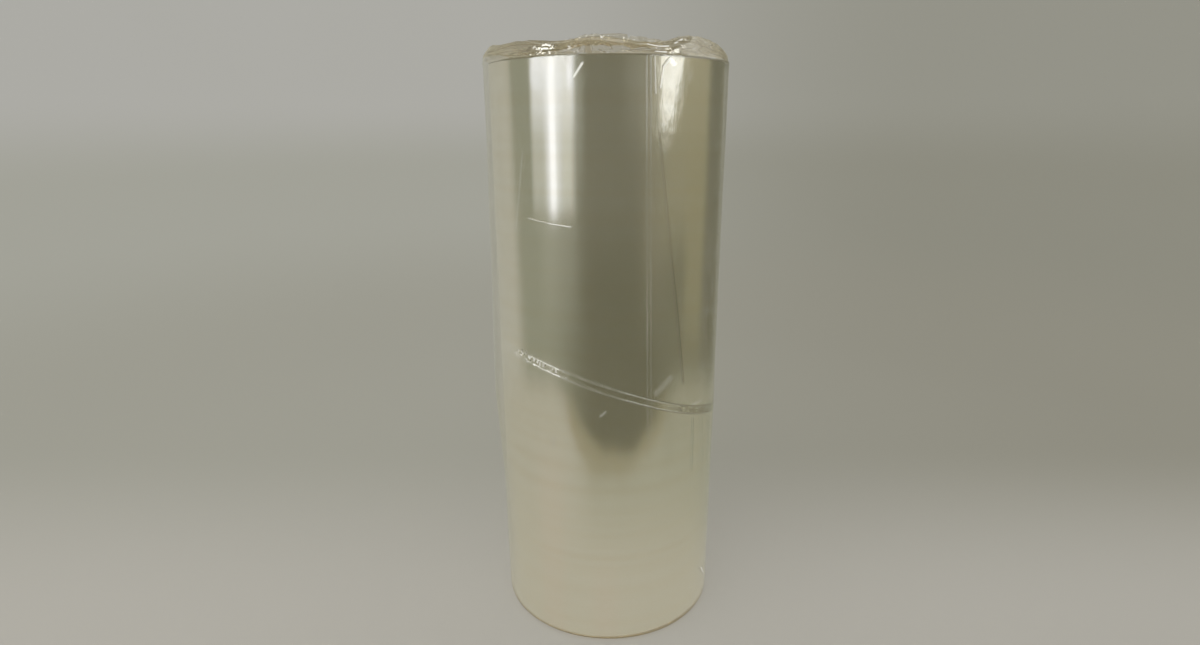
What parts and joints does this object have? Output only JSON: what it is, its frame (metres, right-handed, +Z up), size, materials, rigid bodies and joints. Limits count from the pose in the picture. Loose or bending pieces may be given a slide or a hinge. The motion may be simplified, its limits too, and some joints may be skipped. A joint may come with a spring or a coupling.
{
  "type": "stretch wrap roll",
  "caption": "Roll of clear stretch film wound on an open cardboard core, standing on its end in a thin clear bag with a slanting seam and a gathered crown.",
  "frame": {"origin": "centre of the core's lower end, on the floor that the roll stands on", "axes": "+Z up along the core, -Y towards the side seen in the picture, +X to that view's right"},
  "size_m": [0.211, 0.204, 0.5244],
  "materials": {
    "core_board": "spiral-wound grey-brown board, matt",
    "wound_film": "clear film wound tight, mirror-like on the side and satin on the ends",
    "bag_film": "thin clear bag film, crinkled"
  },
  "bodies": {
    "root": {"core_tube": "core_board", "film_roll": "wound_film", "over_bag": "bag_film"}
  },
  "joints": []
}
